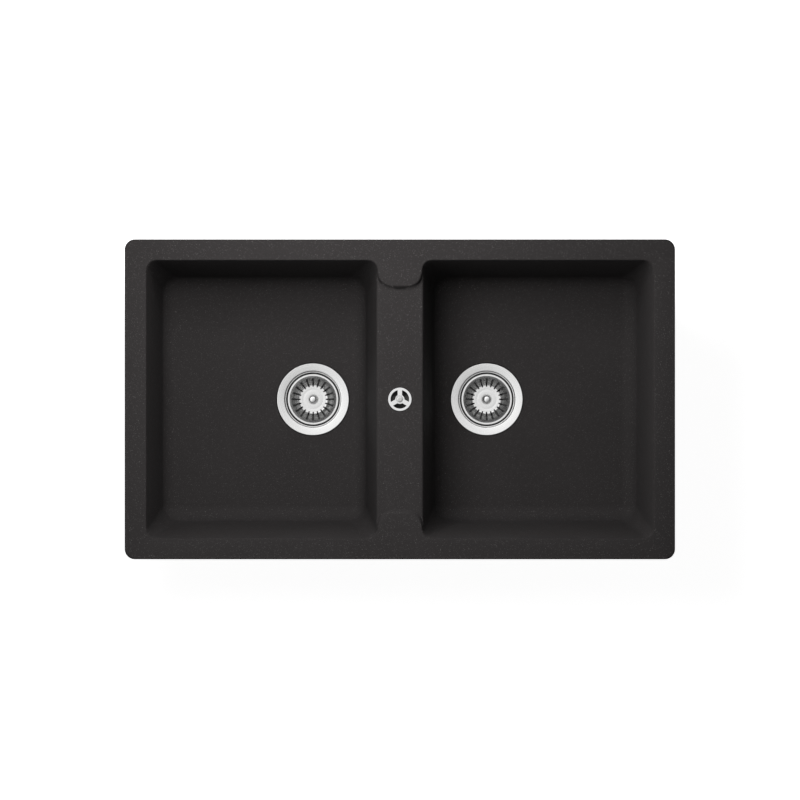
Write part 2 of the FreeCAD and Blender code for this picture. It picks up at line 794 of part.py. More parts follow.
def overflow_screw():
    top = divider_z + cover_height
    low = top - cross_depth
    across, along = cross_width / 2, cross_length / 2
    slots = [box(-along, along, -across, across, low, top), box(-across, across, -along, along, low, top)]
    return overflow_screw_blank().cut(Part.makeCompound(slots))


def overflow_seal():
    return washer(overflow_flange_radius, overflow_hole_radius, overflow_body_z, bridge_z, hidden_sides)


def overflow_body():
    """Cup under the divider, with a bar for the cover's screw and a spigot for the hose."""
    top = overflow_body_z
    inner = overflow_body_radius - overflow_body_wall
    body = flat_sided(overflow_flange_radius, top - overflow_flange_thickness, top, hidden_sides)
    body = body.fuse(flat_sided(overflow_body_radius, spigot_z, top, hidden_sides))
    body = body.fuse(flat_sided(spigot_radius, spigot_z - spigot_length, spigot_z, hidden_sides))
    body = body.cut(flat_sided(inner, spigot_z + overflow_body_wall, top, hidden_sides))
    body = body.cut(flat_sided(spigot_radius - spigot_wall, spigot_z - spigot_length, top, hidden_sides))
    half = overflow_bar_width / 2
    high = top - overflow_bar_gap
    bar = box(-overflow_body_radius, overflow_body_radius, -half, half, high - overflow_bar_height, high)
    bar = bar.common(flat_sided(overflow_body_radius - overflow_body_wall / 2, spigot_z, top, hidden_sides))
    return body.fuse(bar).cut(overflow_screw_blank())


def overflow_hose():
    """Hose pushed over both spigots."""
    inner = spigot_radius + hose_fit
    high = spigot_z - spigot_length + hose_overlap
    return washer(inner + hose_wall, inner, outlet_z + branch_length - hose_overlap, high, hidden_sides)


def basket_strainer(x):
    """Pressed basket whose wall is cut into flat fingers by slots that start in its floor."""
    top = flange_z - basket_rim_drop
    mouth = basket_rim_radius - basket_rim_width
    path = [(0, basket_floor_z), (basket_floor_radius, basket_floor_z), (mouth, top)]

    def pot(foot, rim):
        foot_plan, rim_plan = [polygon(radius, slot_count, 0) for radius in (foot[0], rim[0])]
        return frustum(foot_plan, foot[1], rim_plan, rim[1])

    outer_rim, outer_foot = pressed(path, basket_sheet)[len(path):-1]
    basket = pot(outer_foot, outer_rim)
    basket = basket.fuse(flat_sided(basket_rim_radius, top - basket_rim_height, top, fine_sides))
    basket = basket.cut(pot(path[1], path[2]))
    half = slot_width / 2
    under = basket_floor_z - 2 * basket_sheet
    slot = box(slot_start, slot_end, -half, half, under, top - basket_rim_height)
    basket = basket.cut(Part.makeCompound(patterned(slot, slot_count)))
    basket = basket.cut(flat_sided(stem_radius, under, basket_floor_z, screw_sides))
    basket.translate(V(x, 0, 0))
    return basket


def basket_seal(x):
    """Rubber plug under a basket, with a lip that closes the windows."""
    high = plug_z + plug_thickness
    lip = frustum(
        polygon(plug_radius, hidden_sides), plug_z, polygon(plug_top_radius, hidden_sides), plug_z + plug_lip)
    seal = lip.fuse(flat_sided(plug_top_radius, plug_z + plug_lip, high, hidden_sides))
    seal = seal.cut(flat_sided(plug_recess_radius, plug_z, plug_z + plug_recess_depth, screw_sides))
    seal = seal.cut(flat_sided(stem_radius, plug_z, high, screw_sides))
    seal.translate(V(x, 0, 0))
    return seal


def basket_knob(x):
    """Knob with a stem down through basket and plug."""
    top = basket_floor_z + knob_height
    shoulder = catch_z + catch_collar_height
    side_plan = polygon(knob_radius, hidden_sides)
    knob = frustum(side_plan, top - knob_bevel, polygon(knob_radius - knob_bevel, hidden_sides), top)
    knob = knob.multiFuse([
        flat_sided(knob_radius, top - knob_cap, top - knob_bevel, hidden_sides),
        flat_sided(stem_radius, shoulder, top - knob_cap, screw_sides),
        flat_sided(stem_tip_radius, shoulder - stem_tip_length, shoulder, screw_sides),
    ])
    knob.translate(V(x, 0, 0))
    return knob


def basket_catch(x):
    """Hexagonal collar that clamps the plug, and a sprung catch on the stem's tip."""
    low = catch_z - catch_length
    middle = catch_z - catch_length / 2
    neck, belly = [polygon(radius, nut_sides) for radius in (catch_neck, catch_radius)]
    catch = flat_sided(catch_collar / 2, catch_z, catch_z + catch_collar_height, 6)
    catch = catch.multiFuse([frustum(belly, middle, neck, catch_z), frustum(neck, low, belly, middle)])
    tip = catch_z + catch_collar_height - stem_tip_length
    catch = catch.cut(flat_sided(stem_tip_radius, tip, catch_z + catch_collar_height, screw_sides))
    catch.translate(V(x, 0, 0))
    return catch


def make_parts():
    """Every piece of the sink, by name."""
    parts = {
        "sink_moulding": sink_moulding(),
        "rim_seal": seal_band(0, rim_seal_thickness),
        "clamp_screws": at_clamps(clamp_screw),
        "connecting_tee": connecting_tee(),
        "overflow_cover": overflow_cover(),
        "overflow_screw": overflow_screw(),
        "overflow_seal": overflow_seal(),
        "overflow_body": overflow_body(),
        "overflow_hose": overflow_hose(),
    }
    for name, x, y, bearing in clamp_stations():
        claw = clamp_claw()
        claw.rotate(CENTRE, UP, bearing - 90)
        claw.translate(V(x, y, 0))
        parts["clamp_claw_" + name] = claw
    for name, side in SIDES.items():
        x = side * drain_offset
        parts[name + "_waste_cup"] = waste_cup(x)
        parts[name + "_flange_seal"] = flange_seal(x)
        parts[name + "_body_seal"] = body_seal(x)
        parts[name + "_waste_body"] = waste_body(side)
        parts[name + "_waste_screw"] = waste_screw(x)
        parts[name + "_screw_insert"] = screw_insert(x)
        parts[name + "_outlet_nut"] = outlet_nut(side)
        parts[name + "_outlet_seal"] = outlet_seal(side)
        parts[name + "_basket_strainer"] = basket_strainer(x)
        parts[name + "_basket_knob"] = basket_knob(x)
        parts[name + "_basket_seal"] = basket_seal(x)
        parts[name + "_basket_catch"] = basket_catch(x)
    return parts


def main():
    os.makedirs("parts", exist_ok=True)
    for name, shape in make_parts().items():
        if isinstance(shape, list):
            shape = Part.makeCompound(shape)
        sound = shape.isValid() and all(solid.isClosed() for solid in shape.Solids)
        print(name, len(shape.Solids), "solids", round(shape.Volume), "mm3", "" if sound else "NOT SOUND")
        shape.exportStep("parts/" + name + ".step")


main()
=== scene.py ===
import math
import bpy
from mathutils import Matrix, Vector


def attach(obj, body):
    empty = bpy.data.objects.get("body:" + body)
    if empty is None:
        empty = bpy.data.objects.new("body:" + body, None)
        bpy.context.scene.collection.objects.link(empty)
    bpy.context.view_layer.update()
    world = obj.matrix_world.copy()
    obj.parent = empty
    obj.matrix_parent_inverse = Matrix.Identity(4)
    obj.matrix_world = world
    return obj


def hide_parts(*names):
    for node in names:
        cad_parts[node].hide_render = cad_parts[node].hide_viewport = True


# Double bowl composite sink, seen from straight above as in the photograph. +Y is the wall behind it.
# Sizes and places of its pieces are in mm, and the studio at the end is in metres.
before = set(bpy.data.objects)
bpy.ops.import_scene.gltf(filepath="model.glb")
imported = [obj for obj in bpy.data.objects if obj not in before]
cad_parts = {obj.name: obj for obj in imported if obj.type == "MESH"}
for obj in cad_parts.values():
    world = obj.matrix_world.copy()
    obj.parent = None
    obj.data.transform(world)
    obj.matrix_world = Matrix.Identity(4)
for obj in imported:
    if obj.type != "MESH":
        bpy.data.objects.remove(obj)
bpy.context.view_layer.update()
sides = {"left": -1, "right": 1}
mm = 0.001
wasteX = 138.0  # each waste's axis, from the sink's middle
print("frame loaded")


def clearSelection():
    if bpy.context.object and bpy.context.object.mode == "EDIT":
        bpy.ops.object.mode_set(mode="OBJECT")
    bpy.ops.object.select_all(action="DESELECT")


def pickOnly(piece):
    clearSelection()
    piece.select_set(True)
    bpy.context.view_layer.objects.active = piece


def editAll(piece):  # into edit mode, with the whole mesh selected
    pickOnly(piece)
    bpy.ops.object.mode_set(mode="EDIT")
    bpy.ops.mesh.select_all(action="SELECT")


def leaveEdit():
    bpy.ops.object.mode_set(mode="OBJECT")


def named(piece, name):
    piece.name = name
    piece.data.name = name
    return piece


def copied(piece):  # with a mesh of its own
    copy = piece.copy()
    copy.data = piece.data.copy()
    bpy.context.collection.objects.link(copy)
    return copy


def settle(piece):  # put the piece's place into its mesh
    pickOnly(piece)
    bpy.ops.object.transform_apply(location=True, rotation=True, scale=True)
    return piece


def applyModifier(piece, kind, **settings):
    pickOnly(piece)
    modifier = piece.modifiers.new(kind.title(), kind)
    for key, value in settings.items():
        setattr(modifier, key, value)
    bpy.ops.object.modifier_apply(modifier=modifier.name)


def bevelEdges(piece, width, segments, angle):  # edges sharper than angle
    applyModifier(piece, "BEVEL", width=width * mm, segments=segments, limit_method="ANGLE",
                  angle_limit=math.radians(angle))


def smooth(piece, angle):
    pickOnly(piece)
    bpy.ops.object.shade_smooth_by_angle(angle=math.radians(angle))
    applyModifier(piece, "WEIGHTED_NORMAL", keep_sharp=True, weight=80)
    return piece


def cutWith(piece, cutter, operation="DIFFERENCE"):
    applyModifier(piece, "BOOLEAN", object=cutter, operation=operation, solver="EXACT")
    bpy.data.objects.remove(cutter, do_unlink=True)


def drum(radius, low, high, x=0.0, steps=96):
    clearSelection()
    bpy.ops.mesh.primitive_cylinder_add(
        vertices=steps, radius=radius * mm, depth=(high - low) * mm,
        location=(x * mm, 0, (low + high) / 2 * mm))
    return settle(bpy.context.object)


def lyingDrum(radius, x0, x1, z, steps=96):
    clearSelection()
    bpy.ops.mesh.primitive_cylinder_add(
        vertices=steps, radius=radius * mm, depth=abs(x1 - x0) * mm,
        location=((x0 + x1) / 2 * mm, 0, z * mm), rotation=(0, math.pi / 2, 0))
    return settle(bpy.context.object)


def block(x0, x1, y0, y1, z0, z1):
    clearSelection()
    middle = ((x0 + x1) / 2 * mm, (y0 + y1) / 2 * mm, (z0 + z1) / 2 * mm)
    bpy.ops.mesh.primitive_cube_add(size=1, location=middle)
    cube = bpy.context.object
    cube.scale = ((x1 - x0) * mm, (y1 - y0) * mm, (z1 - z0) * mm)
    return settle(cube)


def turned(piece, degrees, centre, axis="Z"):  # about an axis through centre
    editAll(piece)
    bpy.ops.transform.rotate(
        value=-math.radians(degrees), orient_axis=axis, center_override=[c * mm for c in centre])
    leaveEdit()
    return piece


def joined(pieces):
    clearSelection()
    for piece in pieces:
        piece.select_set(True)
    bpy.context.view_layer.objects.active = pieces[0]
    bpy.ops.object.join()
    return bpy.context.object


def bisected(piece, place, normal):  # what lies ahead of the plane goes
    editAll(piece)
    bpy.ops.mesh.bisect(plane_co=[c * mm for c in place], plane_no=normal, use_fill=True, clear_outer=True)
    leaveEdit()


def closed(profile):
    return profile + profile[:1]


# A profile is drawn by extruding one point from place to place, then spun about an axis through centre
def lathe(name, points, centre, axis, steps):
    clearSelection()
    bpy.ops.mesh.primitive_plane_add(size=mm, location=(0, 0, 0))
    piece = named(bpy.context.object, name)
    bpy.ops.object.mode_set(mode="EDIT")
    bpy.ops.mesh.select_mode(type="VERT")
    bpy.ops.mesh.select_all(action="SELECT")
    bpy.ops.mesh.merge(type="CENTER")
    place = Vector((0, 0, 0))
    for i, point in enumerate(points):
        target = Vector(point) * mm
        step = target - place
        if i == 0:
            bpy.ops.transform.translate(value=step)
        else:
            bpy.ops.mesh.extrude_region_move(TRANSFORM_OT_translate={"value": step})
        place = target
    bpy.ops.mesh.select_all(action="SELECT")
    bpy.ops.mesh.spin(steps=steps, angle=2 * math.pi, center=Vector(centre) * mm, axis=axis)
    bpy.ops.mesh.select_all(action="SELECT")
    bpy.ops.mesh.remove_doubles(threshold=0.01 * mm)
    bpy.ops.mesh.normals_make_consistent(inside=False)
    leaveEdit()
    return piece


def spun(name, profile, x, steps):  # profile of (radius, z), about an upright axis
    return lathe(name, [(x + r, 0, z) for r, z in profile], (x, 0, 0), (0, 0, 1), steps)


def spunLying(name, profile, z, steps=96):  # profile of (x, radius), about an axis along x
    return lathe(name, [(x, 0, z + r) for x, r in profile], (0, 0, z), (1, 0, 0), steps)


def mergedCopy(node, name):  # a CAD node's shape with its loose triangles joined up, left in edit mode
    piece = named(copied(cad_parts[node]), name)
    piece.parent = None
    editAll(piece)
    bpy.ops.mesh.remove_doubles(threshold=0.005 * mm)
    return piece


class Wire:  # a socket that can be used in sums
    def __init__(self, shader, socket):
        self.shader = shader
        self.socket = socket

    def beside(self, name):  # another output of the same node
        return Wire(self.shader, self.socket.node.outputs[name])

    def math(self, operation, a, b):
        return self.shader.node("Math", {"operation": operation}, [a, b])

    def __add__(self, other):
        return self.math("ADD", self, other)

    def __radd__(self, other):
        return self.math("ADD", other, self)

    def __sub__(self, other):
        return self.math("SUBTRACT", self, other)

    def __rsub__(self, other):
        return self.math("SUBTRACT", other, self)

    def __mul__(self, other):
        return self.math("MULTIPLY", self, other)

    def __rmul__(self, other):
        return self.math("MULTIPLY", other, self)


class Shader:  # the nodes of a material or world
    rampReach = 100.0  # radius in mm at a ramp's end

    def __init__(self, owner):
        owner.use_nodes = True
        self.owner = owner
        self.nodes = owner.node_tree.nodes
        self.links = owner.node_tree.links
        self.base = self.nodes.get("Principled BSDF")

    def plug(self, value, socket):
        if isinstance(value, Wire):
            self.links.new(value.socket, socket)
        else:
            socket.default_value = value

    def node(self, kind, settings=None, inputs=None, output=0):
        made = self.nodes.new("ShaderNode" + kind)
        for key, value in (settings or {}).items():
            if key == "stops":
                ramp = made.color_ramp
                while len(ramp.elements) < len(value):
                    ramp.elements.new(0.5)
                for element, (position, colour) in zip(ramp.elements, value):
                    element.position = position
                    element.color = (*colour, 1)
            else:
                setattr(made, key, value)
        pairs = inputs.items() if isinstance(inputs, dict) else enumerate(inputs or [])
        for key, value in pairs:
            self.plug(value, made.inputs[key])
        return Wire(self, made.outputs[output])

    def place(self, centre=(0, 0, 0)):  # object coordinates, measured from centre in metres
        coords = self.node("TexCoord", output="Object")
        return self.node("Mapping", {}, {"Vector": coords, "Location": [-c for c in centre]})

    def radius(self, at):  # distance from an upright axis, in metres
        flat = self.node("VectorMath", {"operation": "MULTIPLY"}, [at, (1, 1, 0)])
        return self.node("VectorMath", {"operation": "LENGTH"}, [flat], output="Value")

    def noise(self, vector, scale, detail=2, rough=0.5, dimensions="3D"):
        inputs = {"Scale": scale, "Detail": detail, "Roughness": rough}
        inputs["W" if dimensions == "1D" else "Vector"] = vector
        return self.node("TexNoise", {"noise_dimensions": dimensions}, inputs)

    def ramp(self, value, stops):
        return self.node("ValToRGB", {"stops": stops}, [value])

    def rings(self, radius, levels):  # grey levels at radii in mm
        stops = [(r / self.rampReach, (level, level, level)) for r, level in levels]
        return self.ramp(radius * (1 / (self.rampReach * mm)), stops)

    def mix(self, factor, first, second, blend="MIX"):
        made = self.nodes.new("ShaderNodeMix")
        made.data_type = "RGBA"
        made.blend_type = blend
        self.plug(factor, made.inputs[0])
        for value, socket in ((first, made.inputs[6]), (second, made.inputs[7])):
            self.plug((*value, 1) if isinstance(value, tuple) else value, socket)
        return Wire(self, made.outputs[2])

    def bump(self, height, strength, distance):
        inputs = {"Height": height, "Strength": strength, "Distance": distance}
        return self.node("Bump", {}, inputs, output="Normal")

    def finish(self, colour, rough, metal, normal, **fixed):
        self.plug(colour, self.base.inputs["Base Color"])
        self.plug(rough, self.base.inputs["Roughness"])
        self.base.inputs["Metallic"].default_value = metal
        self.plug(normal, self.base.inputs["Normal"])
        for key, value in fixed.items():
            self.base.inputs[key].default_value = value
        return self.owner


def newShader(name):
    return Shader(bpy.data.materials.new(name))


def shaded(colour, share):
    return tuple(c * share for c in colour)


granite = {"dark": (0.0118, 0.0108, 0.0108), "light": (0.0362, 0.0335, 0.0336),
           "fleck": (0.088, 0.084, 0.083), "grain": 1500, "fleckGrain": 825, "fleckFrom": 0.66,
           "fleckTo": 0.74, "cloud": 9, "rough": 0.72, "bump": 0.10, "gloss": 0.12}


def makeGranite():
    g = granite
    s = newShader("graniteComposite")
    at = s.place()
    cloud = s.noise(at, g["cloud"], 3)
    grain = s.noise(at, g["grain"], 2, 0.6)
    fleck = s.noise(at, g["fleckGrain"], 1, 0.5)
    body = s.mix(grain * 0.75 + cloud * 0.25, g["dark"], g["light"])
    specks = s.ramp(fleck, [(g["fleckFrom"], (0, 0, 0)), (g["fleckTo"], (1, 1, 1))])
    colour = s.mix(specks, body, g["fleck"])
    rough = g["rough"] + (grain - 0.5) * 0.16 + (cloud - 0.5) * 0.08
    normal = s.bump(grain, g["bump"], 0.0002)
    return s.finish(colour, rough, 0.0, normal, **{"Specular IOR Level": g["gloss"]})


# Brushed or turned in rings about a waste's axis
def makeRingSteel(name, x, rough, colour, lines, shadeRings=None):
    s = newShader(name)
    at = s.place(centre=(x * mm, 0, 0))
    radius = s.radius(at)
    streak = s.noise(radius * lines, 1.0, 3, 0.6, "1D")
    smudge = s.noise(at, 60, 3)
    tone = s.mix(streak * 0.35 + smudge * 0.15, colour, shaded(colour, 0.80))
    if shadeRings:  # painted shade: darker rings, at radii in mm
        tone = s.mix(1.0, tone, s.rings(radius, shadeRings), "MULTIPLY")
    finish = rough + (streak - 0.5) * 0.12 + (smudge - 0.5) * 0.05
    return s.finish(tone, finish, 1.0, s.bump(streak, 0.06, 0.00008))


def makeMetal(name, colour, rough, scratch=400):
    s = newShader(name)
    at = s.place()
    smudge = s.noise(at, 45, 3)
    fine = s.noise(at, scratch, 2)
    tone = s.mix(smudge * 0.4 + fine * 0.2, colour, shaded(colour, 0.82))
    finish = rough + (smudge - 0.5) * 0.10 + (fine - 0.5) * 0.04
    return s.finish(tone, finish, 1.0, s.bump(fine, 0.03, 0.0001))


def makePlastic(name, colour, rough, paintedShadeTo=None, dirt=(0.012, 0.012, 0.011)):
    s = newShader(name)
    at = s.place()
    shade = s.noise(at, 12, 3)
    fine = s.noise(at, 700, 2)
    tone = s.mix(shade * 0.6, colour, shaded(colour, 0.88))
    if paintedShadeTo:  # painted shade inside a pipe, up to this radius in mm
        paintedShadeMask = s.rings(s.radius(at), [(paintedShadeTo - 0.4, 1), (paintedShadeTo, 0)])
        tone = s.mix(paintedShadeMask * 0.95, tone, dirt)
    return s.finish(tone, rough + (fine - 0.5) * 0.12, 0.0, s.bump(fine, 0.08, 0.0001))


def makeRubber(name, colour, rough, pores):
    s = newShader(name)
    at = s.place()
    pore = s.noise(at, pores, 3, 0.65)
    dust = s.noise(at, 30, 4)
    tone = s.mix(dust * 0.5 + pore * 0.3, colour, shaded(colour, 2.2))
    return s.finish(tone, rough, 0.0, s.bump(pore, 0.25, 0.0002))


finishes = {
    "granite": makeGranite(),
    "zinc": makeMetal("zincPlate", (0.60, 0.62, 0.64), 0.34, 600),
    "brass": makeMetal("turnedBrass", (0.70, 0.50, 0.22), 0.30),
    "chrome": makeMetal("polishedChrome", (0.86, 0.86, 0.86), 0.12),
    "screwSteel": makeMetal("screwSteel", (0.62, 0.62, 0.615), 0.24),
    "rubber": makeRubber("blackRubber", (0.018, 0.018, 0.018), 0.62, 900),
    "foam": makeRubber("sealingFoam", (0.05, 0.05, 0.052), 0.85, 1600),
    # Near black: painted shade, standing for the shadow in the gap round each waste flange
    "bead": makeRubber("sealantBead", (0.0035, 0.0035, 0.0036), 0.80, 900),
    "pipe": makePlastic("whitePipe", (0.78, 0.78, 0.76), 0.38),
    # The overflow body is painted near black inside its bore: painted shade down the hole
    "overflowPipe": makePlastic("overflowPipe", (0.78, 0.78, 0.76), 0.38, 17.2),
    "nut": makePlastic("greyNut", (0.62, 0.62, 0.61), 0.42),
    "hose": makePlastic("flexHose", (0.70, 0.70, 0.68), 0.45),
    "catch": makePlastic("catchPlastic", (0.74, 0.73, 0.70), 0.40),
}
# Painted shade on the waste cup: almost black inside its wall and floor, a little darker on the throat's
# ledge
cupShadeRings = [(40.5, 0.08), (42.1, 0.10), (42.5, 0.80), (44.0, 0.90), (44.6, 1.0)]
# Painted shade on the basket: its steep upper wall darker than the floor and rim, the lower wall a little
# less so
basketShadeRings = [(22.8, 1.0), (23.4, 0.72), (28.4, 0.78), (29.4, 0.44), (34.0, 0.44), (36.6, 0.66), (37.2, 1.0)]
for sideName, side in sides.items():
    x = side * wasteX
    finishes[sideName + "Flange"] = makeRingSteel(
        sideName + "FlangeSteel", x, 0.26, (0.86, 0.86, 0.855), 1500, cupShadeRings)
    finishes[sideName + "Basket"] = makeRingSteel(
        sideName + "BasketSteel", x, 0.24, (0.84, 0.84, 0.835), 900, basketShadeRings)
    finishes[sideName + "Knob"] = makeRingSteel(sideName + "KnobSteel", x, 0.12, (0.84, 0.84, 0.84), 2500)
print("materials made")


def stands(piece, body, finish, node):  # the piece stands for the CAD node on the same body
    piece.data.materials.clear()
    piece.data.materials.append(finishes[finish])
    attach(piece, body)
    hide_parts(node)


def makeMoulding():
    sink = mergedCopy("sink_moulding", "compositeSink")
    leaveEdit()
    smooth(sink, 32)
    stands(sink, "sink", "granite", "sink_moulding")


makeMoulding()
print("moulding made")

# Basket wastes
flangeZ = -182.2
cup = {"edge": 57.0, "flat": 46.2, "dish": 0.7, "throat": 44.3, "ledge": 3.8, "wall": 42.2, "corner": 6.0,
       "depth": 38.0, "sheet": 1.0, "floorMiddle": 24.0, "hole": 6.2, "windows": 8, "windowFrom": 10.0,
       "windowTo": 21.5, "windowHalf": 20.0, "windowBar": 5.0}


def makeCup(sideName, side):
    c, x, z, s = cup, side * wasteX, flangeZ, cup["sheet"]
    dish, ledge, floor = z - c["dish"], z - c["ledge"], z - c["depth"]
    inside = [
        (c["edge"] - 0.3, z - 0.95), (c["edge"], z - 0.6), (c["edge"] - 0.2, z - 0.2), (c["edge"] - 0.7, z),
        (c["flat"], dish), (c["flat"] - 0.9, dish - 0.2), (c["throat"] + 0.25, z - 1.5),
        (c["throat"], z - 2.3), (c["throat"], ledge), (c["throat"] - 0.4, ledge - 0.4),
        (c["wall"] + 0.6, ledge - 0.5), (c["wall"], ledge - 1.1), (c["wall"], floor + c["corner"]),
        (c["wall"] - 1.8, floor + 1.8), (c["wall"] - c["corner"], floor), (c["floorMiddle"], floor),
        (c["hole"], floor)]
    outside = [
        (c["hole"], floor - s), (c["floorMiddle"], floor - s), (c["wall"] - c["corner"], floor - s),
        (c["wall"] - 1.1, floor + 1.1), (c["wall"] + s, floor + c["corner"]), (c["wall"] + s, ledge - 1.6),
        (c["throat"] + s, ledge - 0.9), (c["throat"] + s, z - 2.8), (c["flat"] + 0.4, dish - s),
        (c["edge"] - 0.6, z - s)]
    piece = spun(sideName + "WasteCup", closed(inside + outside), x, 160)
    half = math.pi / c["windows"]
    apex = (x + c["windowBar"] / 2 / math.sin(half), 0, 0)
    for i in range(c["windows"]):
        window = block(x + c["windowFrom"], x + c["windowTo"], -c["windowHalf"], c["windowHalf"],
                       floor - 3, floor + 2)
        for way in (-1, 1):
            bisected(window, apex, (-math.sin(half), way * math.cos(half), 0))
        cutWith(piece, turned(window, (i + 0.5) * 360 / c["windows"], (x, 0, 0)))
    smooth(piece, 30)
    stands(piece, "sink", sideName + "Flange", sideName + "_waste_cup")


# The flange seal is a real part; its raised outer ring fills the gap round the flange, and its near-black
# colour there is painted shade for the gap's shadow
flangeSeal = {"inner": 46.0, "outer": 58.3, "low": -185.0, "high": -183.4, "bead": 57.2}


def makeFlangeSeal(sideName, side):
    c = flangeSeal
    profile = [
        (c["inner"], c["high"] - 0.2), (c["bead"], c["high"] - 0.2), (c["bead"] + 0.4, c["high"]),
        (c["outer"] - 0.3, c["high"]), (c["outer"], c["high"] - 0.4), (c["outer"], c["low"]),
        (c["inner"], c["low"])]
    piece = smooth(spun(sideName + "FlangeSeal", closed(profile), side * wasteX, 160), 40)
    stands(piece, "sink", "bead", sideName + "_flange_seal")


basket = {"floor": -211.1, "top": -188.7, "rim": 40.0, "hole": 3.0, "sheet": 0.8, "slots": 20,
          "perSlot": 12, "open": 4, "slotFrom": 19.95, "slotTo": 34.35, "slotEnd": 0.55}


def makeBasket(sideName, side):
    b, x = basket, side * wasteX
    floor, top, rim = b["floor"], b["top"], b["rim"]
    profile = [
        (b["hole"], floor), (7.6, floor), (8.2, floor + 0.3), (14.8, floor + 0.3), (15.6, floor + 0.05),
        (16.4, floor + 0.3), (19.9, floor + 0.3), (20.3, floor + 0.3), (22.0, floor + 0.32),
        (22.8, floor + 0.5), (23.6, floor + 1.0), (26.0, floor + 2.7), (28.0, floor + 4.6),
        (29.2, floor + 6.8), (31.0, floor + 11.0), (33.8, floor + 17.0), (34.4, floor + 18.1),
        (rim - 3.6, top - 1.8), (rim - 2.8, top - 0.4), (rim - 2.4, top), (rim - 0.4, top),
        (rim, top - 0.4), (rim, top - 1.6)]
    piece = spun(sideName + "Basket", profile, x, b["slots"] * b["perSlot"])
    editAll(piece)
    bpy.ops.mesh.select_all(action="DESELECT")
    leaveEdit()
    pitch = 360 / b["slots"]
    halfOpen = b["open"] / b["perSlot"] * pitch / 2
    for face in piece.data.polygons:  # a slot is narrower in its first and last rows
        c = face.center / mm
        r = math.hypot(c.x - x, c.y)
        angle = (math.degrees(math.atan2(c.y, c.x - x)) + pitch / 2) % pitch - pitch / 2
        shorter = b["slotEnd"] if abs(angle) > halfOpen / 2 else 0.0
        face.select = abs(angle) < halfOpen and b["slotFrom"] + shorter < r < b["slotTo"] - shorter
    bpy.ops.object.mode_set(mode="EDIT")
    bpy.ops.mesh.select_mode(type="FACE")
    bpy.ops.mesh.delete(type="FACE")
    leaveEdit()
    applyModifier(piece, "SOLIDIFY", thickness=b["sheet"] * mm, offset=-1)
    smooth(piece, 40)
    stands(piece, sideName + "_basket", sideName + "Basket", sideName + "_basket_strainer")


knob = {"top": -197.1, "radius": 7.2, "neck": 3.4, "collar": 5.8, "stem": 3.0, "shoulder": -214.0, "tip": 1.8,
        "low": -223.4}


def makeKnob(sideName, side):
    k, t, r = knob, knob["top"], knob["radius"]
    profile = [
        (0, t), (2.4, t - 0.08), (4.0, t - 0.35), (5.0, t - 0.8), (5.8, t - 1.5), (6.5, t - 2.5),
        (7.0, t - 3.7), (r, t - 4.9), (r - 0.05, t - 5.6), (r - 0.7, t - 6.5), (5.2, t - 7.1), (4.0, t - 7.8),
        (k["neck"] + 0.1, t - 9.0), (k["neck"], t - 12.4), (k["neck"] + 0.6, t - 13.2),
        (k["collar"], t - 13.4), (k["collar"], t - 13.7), (k["stem"], t - 13.8), (k["stem"], k["shoulder"]),
        (k["tip"], k["shoulder"] - 1.5), (k["tip"], k["low"]), (0, k["low"])]
    piece = smooth(spun(sideName + "Knob", profile, side * wasteX, 96), 50)
    stands(piece, sideName + "_basket", sideName + "Knob", sideName + "_basket_knob")


for sideName, side in sides.items():
    makeCup(sideName, side)
    makeFlangeSeal(sideName, side)
    makeBasket(sideName, side)
    makeKnob(sideName, side)
print("wastes made")

# Overflow rose on the divider, and the screw in its middle
rose = {"z": -4.0, "height": 2.4, "radius": 18.2, "ring": 3.7, "hub": 7.2, "spokes": 3, "spoke": 6.9,
        "edge": 0.42, "recess": 1.9, "screw": 4.9, "gap": 0.9, "shank": 2.5, "screwLow": -35.6,
        "cross": 6.6, "crossWidth": 1.5, "crossTurn": 20}


def makeRose():
    r = rose
    low, high = r["z"], r["z"] + r["height"]
    inner = r["radius"] - r["ring"]
    gaps = drum(inner, low - 1, low + 5)
    cutWith(gaps, drum(r["hub"], low - 2, low + 6))
    for i in range(r["spokes"]):
        spoke = block(0, inner + 3, -r["spoke"] / 2, r["spoke"] / 2, low - 2, low + 6)
        spoke.rotation_euler = (0, 0, math.radians(90 + 360 / r["spokes"] * i))
        cutWith(gaps, settle(spoke))
    piece = named(drum(r["radius"], low, high, steps=160), "overflowRose")
    cutWith(piece, gaps)
    cutWith(piece, drum(r["screw"] + r["gap"], high - r["recess"], low + 5))
    bevelEdges(piece, r["edge"], 3, 40)
    smooth(piece, 40)
    stands(piece, "sink", "chrome", "overflow_cover")


def makeRoseScrew():
    r = rose
    top, head = r["z"] + r["height"] - 0.15, r["screw"]
    profile = [
        (0, top), (3.2, top), (4.3, top - 0.25), (head - 0.1, top - 0.7), (head, top - 1.1),
        (head - 0.1, top - 1.5), (r["shank"], top - 1.6), (r["shank"], r["screwLow"]), (0, r["screwLow"])]
    piece = spun("overflowRoseScrew", profile, 0, 64)
    reach, half = r["cross"] / 2, r["crossWidth"] / 2
    for turn in (0, 90):
        slot = block(-reach, reach, -half, half, top - 1.2, top + 2)
        slot.rotation_euler = (0, 0, math.radians(r["crossTurn"] + turn))
        cutWith(piece, settle(slot))
    smooth(piece, 35)
    stands(piece, "sink", "screwSteel", "overflow_screw")


makeRose()
makeRoseScrew()
print("overflow made")

# Waste fittings under the bowls
pot = {"top": -198.0, "rim": 57.0, "rimThick": 4.0, "neck": 49.0, "foot": 46.0, "low": -267.0, "base": 39.0,
       "wall": 3.0, "outlet": -244.0, "socket": 24.5, "socketEnd": 66.0, "socketBore": 20.3,
       "socketDepth": 21.0, "bore": 18.0, "boreFrom": 30.0, "ribs": 12, "ribHalf": 1.1, "ribHeight": 15.0,
       "barHalf": 11.0, "barLow": -237.2, "barHigh": -221.2, "nutHole": 9.24, "nutDepth": 8.0,
       "screwHole": 6.0}


